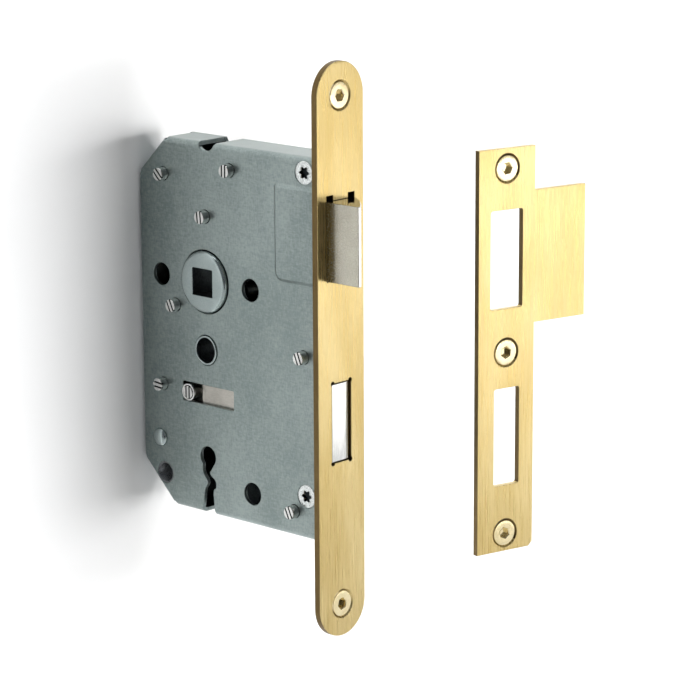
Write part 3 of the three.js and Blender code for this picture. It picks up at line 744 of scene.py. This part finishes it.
def make_sleeve(node, finish, bore, pitch, depth):
    """A tube along Y in a CAD tube's place, its bore cut with a screw thread."""
    low, high = extent(node)
    at = middle(node)
    outer, length = (high.x - low.x) / 2, high.y - low.y
    rows = int(length / pitch * 8)
    points, faces = [], []
    for i in range(RING_STEPS):
        angle = 2 * math.pi * i / RING_STEPS
        ring = [(outer, high.y), (outer, low.y)]
        for k in range(rows + 1):
            height = low.y + length * k / rows
            phase = (height / pitch - i / RING_STEPS) % 1.0
            thread = depth * (0.5 - abs(2 * phase - 1)) * min(1, k, rows - k)
            ring.append((bore + thread, height))
        points += [(at.x + r * math.cos(angle), h, at.z + r * math.sin(angle)) for r, h in ring]
    count = rows + 3
    for i in range(RING_STEPS):
        a, b = i * count, ((i + 1) % RING_STEPS) * count
        for k in range(count):
            faces.append((a + k, a + (k + 1) % count, b + (k + 1) % count, b + k))
    stand_for(shade(new_object(node + "_turned", points, faces)), node, finish)


make_dome()
make_ring("collar_tube", HUB_ZINC, bore=3.9, edge=0.25)
# The sleeve's dark spring steel stands for painted shade in the fixing hole it sits in.
make_sleeve("threaded_sleeve", SPRING_STEEL_AND_SHADE, bore=3.05, pitch=0.8, depth=0.3)
make_ring("guide_roller", STEEL, bore=2.1, edge=0.2)
make_post("guide_pin", 0, edge=0.2)

# ---- case screws ---------------------------------------------------------------------------------

CASE_SCREW = {"head": 3.5, "cone": 2.0, "shank": 1.5, "tip": 0.4}
STAR = {"radius": 1.6, "lobe": 0.32, "depth": 1.2, "edge": 0.12}


def star_outline(x, z, steps=72):
    """A six-lobed star."""
    star = []
    for i in range(steps):
        angle = 2 * math.pi * i / steps
        radius = STAR["radius"] + STAR["lobe"] * math.cos(6 * angle)
        star.append((x + radius * math.cos(angle), z + radius * math.sin(angle)))
    return star


def make_case_screw(node):
    """A countersunk screw with a six-lobed recess, with painted shade inside the recess."""
    low, high = extent(node)
    at = middle(node)
    face, length = low.y, high.y - low.y
    head, shank, tip = CASE_SCREW["head"], CASE_SCREW["shank"], CASE_SCREW["tip"]
    profile = [(0, 0), (head - 0.25, 0), (head - 0.08, 0.05), (head, 0.16), (shank, CASE_SCREW["cone"])]
    profile += [(shank, length - tip), (shank - tip, length), (0, length)]
    screw = turned(node + "_turned", profile, (at.x, at.z, face), steps=64)
    edge = STAR["edge"]
    recess = [(-edge, face - 1), (-edge, face), (0, face + edge), (0, face + STAR["depth"])]
    screw = boolean(screw, [plate("cutter", star_outline(at.x, at.z), recess)])

    def in_recess(point, normal):
        across = Vector((point.x - at.x, 0, point.z - at.z))
        deep = face + 0.1 < point.y < face + STAR["depth"] + 0.1
        return deep and across.length < 2.1 and (normal.y < -0.9 or normal.dot(across) < 0)

    stand_for(shade(screw), node, SCREW_ZINC)
    paint_light_and_shade(screw, SHADE_PAINT, in_recess)


for screw_node in ("case_screw_upper", "case_screw_lower"):
    make_case_screw(screw_node)

# ---- faceplate and its screws --------------------------------------------------------------------

FACE_LOW, FACE_HIGH = extent("faceplate")
THICK = FACE_HIGH.x - FACE_LOW.x
LATCH_OPENING = {"half": 6.05, "z0": 22.5, "z1": 46.5, "notch": 2.85, "top": 48.1}
BOLT_SLOT = {"half": 4.25, "z0": -32.75, "z1": -8.3, "corner": 0.8, "y": 3.8, "inside": 0.1}
SINK = {"mouth": 4.6, "shank": 2.4}


def latch_opening():
    """The latch's opening, with a narrow notch up at each side."""
    half, notch, z0, z1, top = (LATCH_OPENING[key] for key in ("half", "notch", "z0", "z1", "top"))
    return [
        (-half, z0),
        (half, z0),
        (half, top),
        (half - notch, top),
        (half - notch, z1),
        (notch - half, z1),
        (notch - half, top),
        (-half, top),
    ]


def bolt_slot():
    """A slot whose corners are eased by small round drillings."""
    half, corner, inside, y = (BOLT_SLOT[key] for key in ("half", "corner", "inside", "y"))
    low, high = BOLT_SLOT["z0"] + inside, BOLT_SLOT["z1"] - inside
    side = math.degrees(math.acos((half - y) / corner))
    end = math.degrees(math.asin(inside / corner))
    loop = arc(y, low, corner, 180 + end, 360 + side, 14)
    loop += arc(y, high, corner, -side, 180 - end, 14)
    loop += arc(-y, high, corner, end, 180 + side, 14)
    loop += arc(-y, low, corner, 180 - side, 360 - end, 14)
    return loop


def countersink(y, z, front, thick):
    """A countersunk screw hole: its loop and its profile, from the plate's front to its back."""
    grow = SINK["mouth"] - SINK["shank"]
    cone = [(grow + 0.08, front), (grow, front - 0.03), (grow - 0.06, front - 0.12)]
    return circle(y, z, SINK["shank"], 64), cone + [(0.04, front - thick + 0.06), (0, front - thick)]


def make_faceplate():
    radius = (FACE_HIGH.y - FACE_LOW.y) / 2
    straight = FACE_HIGH.z - radius
    outline = arc(0, straight, radius, 0, 180, 64) + arc(0, -straight, radius, 180, 360, 64)
    edge = rim(0, -THICK, 0.22, 4)
    slot_edge = rim(0, -THICK, 0.1, 2)
    holes = [(latch_opening(), slot_edge), (bolt_slot(), slot_edge)]
    for node in ("faceplate_screw_upper", "faceplate_screw_lower"):
        holes.append(countersink(0, middle(node).z, 0, THICK))
    made = plate("faceplate_brushed", outline, edge, holes, along_x)
    stand_for(shade(made), "faceplate", BRASS)
    # The plate's edge faces and the walls of its holes get a dark brass: painted shade and a painted dark
    # reflection.
    paint_light_and_shade(made, EDGE_SHADE_BRASS, lambda at, normal: abs(normal.x) < 0.3)


HEX_SCREW = {"face": -0.1, "head": 4.0, "shank": 2.0, "cone": 2.1, "length": 8.4, "flats": 3.0, "socket": 1.7}


def make_hex_screw(node, turn, place):
    """A countersunk screw with a hexagon socket turned by some degrees; place moves it from the origin."""
    face, head, shank, cone, length = (HEX_SCREW[key] for key in ("face", "head", "shank", "cone", "length"))
    profile = [(0, face), (head - 1.1, face), (head - 0.3, -0.13), (head - 0.07, -0.22), (head, -0.38)]
    profile += [(shank, -cone), (shank, 0.5 - length), (shank - 0.5, -length), (0, -length)]
    screw = turned(node + "_turned", profile, (0, 0, 0), along_x, steps=64)
    hexagon = arc(0, 0, HEX_SCREW["flats"] / math.sqrt(3), turn, turn + 360, 6)[:-1]
    edge = [(-1.25, face + 1), (-0.3, face), (0, -0.32), (0, -HEX_SCREW["socket"])]
    screw = boolean(screw, [plate("cutter", hexagon, edge, place=along_x)])
    screw.data.transform(place)
    stand_for(shade(dissolve_flat(screw), 0.03), node, SCREW_BRASS)


make_faceplate()
for screw_node, screw_turn in (("faceplate_screw_upper", 0), ("faceplate_screw_lower", 12)):
    make_hex_screw(screw_node, screw_turn, Matrix.Translation((0, 0, middle(screw_node).z * MM)))

# ---- latch and deadbolt --------------------------------------------------------------------------

RIVET_HOLE = {"radius": 1.4, "y0": -4, "y1": 3.1}


def with_rivet_holes(head, nodes):
    for node in nodes:
        at = middle(node)
        hole = rod("cutter", at.x, at.z, RIVET_HOLE["radius"], RIVET_HOLE["y0"], RIVET_HOLE["y1"], steps=32)
        head = boolean(head, [hole])
    return head


def make_latch():
    """The latch's head: a flat side, a rounded tip, and a crowned bevel on its far side."""
    low, high = extent("latch_head")
    half, nose, shoulder = -low.y, high.x, -7.0
    tip, tip_round = 1.1, 0.35  # the tip's flat end, and the rounding of its near edge
    start, end = Vector((nose, tip - half)), Vector((0.6, half))  # of the bevel
    crown = (start + end) / 2 + Vector((0.9, 0.9))
    steps = 20
    bevel = []
    for i in range(steps + 1):
        t = i / steps
        bevel.append(tuple(start * (1 - t) ** 2 + crown * (2 * t * (1 - t)) + end * t**2))
    outline = [(shoulder, -half)] + arc(nose - tip_round, tip_round - half, tip_round, -90, 0, 5)
    outline += bevel + [(shoulder, half)]
    head = plate("latch_head_ground", outline, rim(low.z, high.z, 0.25, 4), place=along_z)
    neck = block("neck", low.x, shoulder + 1, -2.4, 4.8, low.z + 0.3, high.z - 0.3)
    head = with_rivet_holes(joined(head, [neck]), ("latch_rivet_upper", "latch_rivet_lower"))
    stand_for(shade(dissolve_flat(head), 0.06), "latch_head", LATCH_STEEL)
    # The nose and the top and bottom faces get a brighter polished steel: a painted highlight.
    paint_light_and_shade(head, NICKEL_AND_HIGHLIGHT, lambda at, normal: abs(normal.z) > 0.8 or normal.x > 0.9)


def make_bolt():
    """The deadbolt's head, its end falling away on its far side."""
    low, high = extent("deadbolt_head")
    half, shoulder, near = high.y, -18.3, 0.3
    crown, crowned = 8.0, 2.7  # the face's far side falls away on an arc of this radius, over this width
    outline = [(shoulder, -half)] + arc(high.x - near, near - half, near, -90, 0, 4)
    outline += arc(high.x - crown, half - crowned, crown, 0, math.degrees(math.asin(crowned / crown)), 10)
    outline += [(shoulder, half)]
    head = plate("deadbolt_head_ground", outline, rim(low.z, high.z, 0.3, 4), place=along_z)
    neck = block("neck", low.x, shoulder + 1, -2.5, half, low.z + 1.5, high.z - 1.4)
    head = with_rivet_holes(joined(head, [neck]), ("deadbolt_rivet_upper", "deadbolt_rivet_lower"))
    stand_for(shade(dissolve_flat(head), 0.05), "deadbolt_head", NICKEL_AND_HIGHLIGHT)


make_latch()
make_bolt()

# ---- follower ------------------------------------------------------------------------------------

ARMS = [(67, 17.4, 2.4), (-10, 14.0, 2.4), (150, 14.6, 2.2)]  # degrees, reach, half width
SQUARE = 4.2  # half the square hole
FLANGE = {"radius": 10.8, "hole": 8, "half": 5}


def make_arm(degrees, reach, half, root=8.5):
    """One arm of the follower, from a root inside the hub out to its reach."""
    angle = math.radians(degrees)
    start = (root * math.cos(angle) - BACKSET, root * math.sin(angle) + SPINDLE_Z)
    tip = ((reach - half) * math.cos(angle) - BACKSET, (reach - half) * math.sin(angle) + SPINDLE_Z)
    return plate("arm", bar(*start, *tip, half), rim(-2.2, 4.8, 0.2))


def make_follower():
    """The hub with its square hole, and a flange and arms inside the case."""
    low, high = extent("follower")
    x, z = -BACKSET, SPINDLE_Z
    square = rectangle(x - SQUARE, x + SQUARE, z - SQUARE, z + SQUARE, 0.25, 3)
    outside = rim(low.y, high.y, 1.25, 8)
    hub = plate("follower_hub", circle(x, z, HUB_RADIUS, 96), outside, [(square, rim(low.y, high.y, 0.3, 3))])
    half = FLANGE["half"]
    within = (circle(x, z, FLANGE["hole"]), rim(-half, half, 0.01))
    flange = plate("flange", circle(x, z, FLANGE["radius"], 96), rim(-half, half, 0.2), [within])
    for piece in [flange] + [make_arm(*arm) for arm in ARMS]:
        hub = joined(hub, [piece])
    stand_for(shade(hub), "follower", HUB_ZINC)

    # Painted shade on every face inside the case and on the square hole's walls.
    def painted_shade(at, normal):
        in_case = abs(at.y) < HALF - 0.5
        in_square = max(abs(at.x - x), abs(at.z - z)) < SQUARE + 0.02
        return in_case or (in_square and abs(normal.y) < 0.6)

    paint_light_and_shade(hub, SHADE_PAINT, painted_shade)


make_follower()

# ---- strike plate --------------------------------------------------------------------------------

STRIKE = {  # its near edge's place, its turn in degrees, and its outline and lip in its own plane
    "x": 18.9, "y": 40.3, "yaw": -14, "thick": 2.0, "width": 21.0, "lip_width": 40.2,
    "z0": -67.7, "z1": 57.6, "lip_z0": 3.1, "lip_z1": 44.0, "trim": 1.4,
}
STRIKE_HOLES = [(4.5, 16.4, 8.6, 38.9), (6.1, 15.5, -46.7, -16.1)]  # sides, bottom and top of each
STRIKE_SCREWS = ("strike_screw_upper", "strike_screw_middle", "strike_screw_lower")


def make_strike():
    width, lip, trim = STRIKE["width"], STRIKE["lip_width"], STRIKE["trim"]
    z0, z1, lip0, lip1 = STRIKE["z0"], STRIKE["z1"], STRIKE["lip_z0"], STRIKE["lip_z1"]
    outline = [(0, z0), (width - trim, z0), (width, z0 + trim), (width, lip0), (lip, lip0)]
    outline += [(lip, lip1), (width, lip1), (width, z1), (0, z1)]
    edge = rim(0, -STRIKE["thick"], 0.14, 3)
    holes = [(rectangle(*sides, 0.8, 6), edge) for sides in STRIKE_HOLES]
    holes += [countersink(width / 2, middle(node).z, 0, STRIKE["thick"]) for node in STRIKE_SCREWS]
    made = plate("strike_plate_brushed", outline, edge, holes, along_x)
    turn = Matrix.Rotation(math.radians(STRIKE["yaw"]), 4, "Z")
    place = Matrix.Translation((STRIKE["x"] * MM, STRIKE["y"] * MM, 0)) @ turn
    made.data.transform(place)
    stand_for(shade(made), "strike_plate", BRASS)
    # The strike's downward and -Y facing faces get a dark brass: painted shade.
    paint_light_and_shade(made, EDGE_SHADE_BRASS, lambda at, normal: normal.z < -0.3 or normal.y < -0.7)
    for i, node in enumerate(STRIKE_SCREWS):
        at = Matrix.Translation((0, width / 2 * MM, middle(node).z * MM))
        make_hex_screw(node, 6 + 17 * i, place @ at)


make_strike()

# ---- pieces kept from the CAD --------------------------------------------------------------------

KEPT = {
    "lever_spacer": STEEL,
    "spring_bracket": INNER_STEEL,
    "faceplate_lug_upper": INNER_STEEL,
    "faceplate_lug_lower": INNER_STEEL,
    "latch_tail": INNER_STEEL,
    "latch_rivet_upper": STEEL,
    "latch_rivet_lower": STEEL,
    "latch_drive_pin": STEEL,
    "deadbolt_tail": INNER_STEEL,
    "deadbolt_rivet_upper": STEEL,
    "deadbolt_rivet_lower": STEEL,
    "lever_1": INNER_STEEL,
    "lever_2": INNER_STEEL,
    "lever_3": INNER_STEEL,
}
KEPT_ANGLE = 40  # the facets of a CAD node's round faces stay as they are below this angle


def dress_kept(node, finish):
    kept = frame["nodes"][node]
    kept.data.materials.clear()
    kept.data.materials.append(finish)
    ease_edges(kept, 0.1, KEPT_ANGLE)


for kept_node, kept_finish in KEPT.items():
    dress_kept(kept_node, kept_finish)

# ---- springs -------------------------------------------------------------------------------------


def tube(name, path, wire, sides=12):
    """A round wire along a path of points, closed at both ends."""
    points, faces = [], []
    normal = Vector((0, 1, 0))
    count = len(path)
    for i, here in enumerate(path):
        ahead = (Vector(path[min(i + 1, count - 1)]) - Vector(path[max(i - 1, 0)])).normalized()
        normal = (normal - ahead * normal.dot(ahead)).normalized()
        side = ahead.cross(normal)
        for k in range(sides):
            angle = 2 * math.pi * k / sides
            points.append(Vector(here) + normal * (wire * math.cos(angle)) + side * (wire * math.sin(angle)))
    for i in range(count - 1):
        for k in range(sides):
            after = (k + 1) % sides
            faces.append((i * sides + k, i * sides + after, (i + 1) * sides + after, (i + 1) * sides + k))
    faces.append(tuple(range(sides)))
    faces.append(tuple((count - 1) * sides + k for k in range(sides)))
    return new_object(name, points, faces)


def coil(name, start, end, radius, wire, turns):
    """A compression spring between two points, its end turns closed up."""
    start, end = Vector(start), Vector(end)
    along = end - start
    side = Vector((0, 1, 0))
    up = along.cross(side).normalized()
    path = []
    steps = turns * 24
    closing = 0.045  # how strongly the turns crowd towards the ends
    for i in range(steps + 1):
        t = i / steps
        centre = start + along * (t - closing * math.sin(2 * math.pi * t))
        angle = 2 * math.pi * turns * t
        path.append(centre + side * (radius * math.cos(angle)) + up * (radius * math.sin(angle)))
    return tube(name, path, wire)


def spring(made, node):
    """A spring between the case and a moving body, given its finish and smooth shading and baked where it
    stands; its CAD node is hidden.
    """
    made.data.materials.append(SPRING_STEEL_AND_SHADE)
    for face in made.data.polygons:
        face.use_smooth = True
    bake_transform(made)
    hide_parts(node)


LATCH_SPRING = {"start": (-37.3, 1.3, 41), "end": (-16.9, 1.3, 41)}
FOLLOWER_SPRING = {"start": (-36.6, 1.3, 34.2), "end": (-36.6, 1.3, 17.2)}
spring(
    coil("latch_spring_wound", **LATCH_SPRING, radius=2.3, wire=0.35, turns=9),
    "latch_spring",
)
spring(
    coil("follower_spring_wound", **FOLLOWER_SPRING, radius=1.9, wire=0.35, turns=8),
    "follower_spring",
)


def make_lever_spring(number):
    """A flat spring bent round the rear post, with a short heel behind it and a leg that runs to a lever."""
    node = f"lever_spring_{number}"
    low, high = extent(node)
    post = middle("post_rear")
    x, z = post.x, post.z
    reach = high.x
    bend, thick = 2.15, 0.45
    strip = [(x - 7.6, z - 4.6), (x - 4.6, z - 1.4), (x - 2.4, z + 1.2)]
    strip += arc(x, z, bend + thick / 2, 150, 60, 10)
    strip += [(x + 5, -12.4), (reach, -13.7)]
    centre = spline(strip, 5)
    sides = [side_of(centre, i) * thick / 2 for i in range(len(centre))]
    outline = [tuple(Vector(p) + side) for p, side in zip(centre, sides)]
    outline += [tuple(Vector(p) - side) for p, side in reversed(list(zip(centre, sides)))]
    made = plate(node + "_formed", outline, [(0, low.y), (0, high.y)])
    spring(made, node)


def side_of(path, i):
    """The direction square to a path at one of its points."""
    ahead = Vector(path[min(i + 1, len(path) - 1)]) - Vector(path[max(i - 1, 0)])
    ahead.normalize()
    return Vector((-ahead.y, ahead.x))


for lever_number in (1, 2, 3):
    make_lever_spring(lever_number)

# ---- setting -------------------------------------------------------------------------------------


def paper(name, one_sided=False):
    """Plain white paper; one-sided paper isn't seen from behind."""
    made = bpy.data.materials.new(name)
    made.use_nodes = True
    nodes, links = made.node_tree.nodes, made.node_tree.links
    shader = nodes["Principled BSDF"]
    shader.inputs["Base Color"].default_value = (0.86, 0.86, 0.86, 1)
    shader.inputs["Roughness"].default_value = 0.9
    shader.inputs["Specular IOR Level"].default_value = 0.0
    if one_sided:
        clear = nodes.new("ShaderNodeBsdfTransparent")
        facing = nodes.new("ShaderNodeNewGeometry")
        mix = nodes.new("ShaderNodeMixShader")
        links.new(facing.outputs["Backfacing"], mix.inputs["Fac"])
        links.new(shader.outputs["BSDF"], mix.inputs[1])
        links.new(clear.outputs["BSDF"], mix.inputs[2])
        links.new(mix.outputs["Shader"], nodes["Material Output"].inputs["Surface"])
    return made


def stage_sheet(name, corners, finish, faces=((0, 1, 2, 3),)):
    """A flat sheet that is part of the set, not of the lock."""
    made = new_object(name, corners, faces)
    made.data.materials.append(finish)
    return made


def make_setting():
    """A pale floor under the lock, and a white backdrop that the case's rear edge stands against.

    The backdrop is open behind the case's rear wall, so that the wall isn't black when seen from behind.
    """
    wide, floor, wall = 3000, -215, REAR - 0.6
    ground = [(x, y, floor) for x, y in rectangle(-wide, wide, -wide, wide)]
    stage_sheet("floor", ground, paper("floor paper"))
    outer = rectangle(-wide, wide, floor, wide)
    opening = rectangle(2.0 - HALF, HALF - 0.6, BOTTOM + BOTTOM_CHAMFER, TOP - TOP_CHAMFER)
    corners = [(wall, y, z) for y, z in outer + opening]
    sides = [(i, (i + 1) % 4, (i + 1) % 4 + 4, i + 4) for i in range(4)]
    made = stage_sheet("backdrop", corners, paper("backdrop paper", one_sided=True), sides)
    if made.data.polygons[0].normal.x < 0:
        made.data.flip_normals()


def softbox(name, at, target, width, height, power):
    """A rectangular studio light at a place in millimetres, turned to face a point."""
    light = bpy.data.lights.new(name, "AREA")
    light.shape = "RECTANGLE"
    light.size, light.size_y = width * MM, height * MM
    light.energy = power
    made = bpy.data.objects.new(name, light)
    bpy.context.scene.collection.objects.link(made)
    made.location = Vector(at) * MM
    away = (Vector(at) - Vector(target)).normalized()
    made.rotation_euler = away.to_track_quat("Z", "Y").to_euler()
    return made


def flag(name, corners):
    """A dark card beside the set that only reflections see."""
    made = bpy.data.materials.new(name)
    made.use_nodes = True
    shader = made.node_tree.nodes["Principled BSDF"]
    shader.inputs["Base Color"].default_value = (0.02, 0.018, 0.016, 1)
    shader.inputs["Roughness"].default_value = 1.0
    shader.inputs["Specular IOR Level"].default_value = 0.0
    card = stage_sheet(name, corners, made)
    card.visible_camera = False
    card.visible_diffuse = False
    card.visible_shadow = False
    card.visible_transmission = False


def make_light():
    """A dim world, three softboxes and two dark cards, in millimetres and watts."""
    world = bpy.data.worlds.new("studio")
    bpy.context.scene.world = world
    world.use_nodes = True
    background = world.node_tree.nodes["Background"]
    background.inputs["Color"].default_value = (0.93, 0.96, 1.0, 1)
    background.inputs["Strength"].default_value = 0.22
    key = softbox("key", (1735, 690, 10), (-60, 0, 0), 1480, 500, 46)
    key.visible_glossy = False
    softbox("top", (-100, 200, 1100), (-40, 0, 0), 700, 700, 7.5)
    front = softbox("front", (573, 401, -60), (0, 0, 0), 1000, 700, 1.45)
    front.visible_diffuse = False
    flag("camera side flag", [(310, -510, -420), (480, -350, -420), (480, -350, 120), (310, -510, 120)])
    flag("wall side flag", [(-60, -68, -400), (-60, -76, -400), (-60, -76, 400), (-60, -68, 400)])
    bpy.context.scene.view_settings.view_transform = "Standard"


CAMERA = {  # degrees, and lengths in millimetres
    "azimuth": 42.403, "elevation": 13.148, "roll": -0.274, "target": (0, 3.777, 0.688),
    "distance": 862.7, "lens": 149.9, "sensor": 36.0,
}


def make_camera():
    azimuth, elevation, roll = (math.radians(CAMERA[key]) for key in ("azimuth", "elevation", "roll"))
    level, rise = math.cos(elevation), math.sin(elevation)
    back = Vector((math.sin(azimuth) * level, -math.cos(azimuth) * level, rise))
    right = Vector((math.cos(azimuth), math.sin(azimuth), 0))
    right = right * math.cos(roll) + back.cross(right) * math.sin(roll)
    up = back.cross(right)
    data = bpy.data.cameras.new("camera")
    data.lens = CAMERA["lens"]
    data.sensor_width = CAMERA["sensor"]
    made = bpy.data.objects.new("camera", data)
    bpy.context.scene.collection.objects.link(made)
    place = Vector(CAMERA["target"]) + back * CAMERA["distance"]
    made.matrix_world = Matrix.Translation(place * MM) @ Matrix((right, up, back)).transposed().to_4x4()
    bpy.context.scene.camera = made


make_setting()
make_light()
make_camera()
